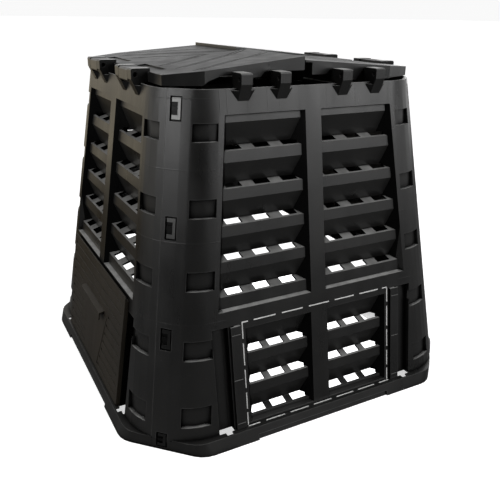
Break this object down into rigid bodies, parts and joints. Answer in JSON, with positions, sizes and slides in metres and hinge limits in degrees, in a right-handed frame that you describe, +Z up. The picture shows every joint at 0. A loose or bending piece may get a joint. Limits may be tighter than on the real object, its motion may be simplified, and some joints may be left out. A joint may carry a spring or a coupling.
{
  "type": "compost bin with lid",
  "caption": "Square tapered garden compost bin with louvred ventilated walls, a lift-up emptying hatch at the foot and a lid of two hinged flaps.",
  "frame": {"origin": "centre of the ground rectangle, at ground level", "axes": "+Z up, -Y towards the front with the hatch, +X towards the right-hand wall"},
  "size_m": [0.94, 0.94, 0.8229],
  "materials": {
    "wall": "satin moulded black",
    "hatch": "satin moulded black",
    "lid": "satin moulded black"
  },
  "bodies": {
    "bin": {"wall_right": "wall", "wall_back": "wall", "wall_left": "wall", "wall_front": "wall"},
    "hatch": {"hatch": "hatch"},
    "front_flap": {"lid_flap_front": "lid"},
    "back_flap": {"lid_flap_back": "lid"}
  },
  "joints": [
    {"name": "hatch_slide", "type": "slide", "parent": "bin", "child": "hatch", "axis": [0, 0.1495, 0.9888], "range_m": [0, 0.24]},
    {"name": "front_flap_hinge", "type": "hinge", "parent": "bin", "child": "front_flap", "pos_m": [0, -0.342, 0.785], "axis": [1, 0, 0], "range_deg": [0, 110]},
    {"name": "back_flap_hinge", "type": "hinge", "parent": "bin", "child": "back_flap", "pos_m": [0, 0.342, 0.785], "axis": [-1, 0, 0], "range_deg": [0, 110]}
  ]
}
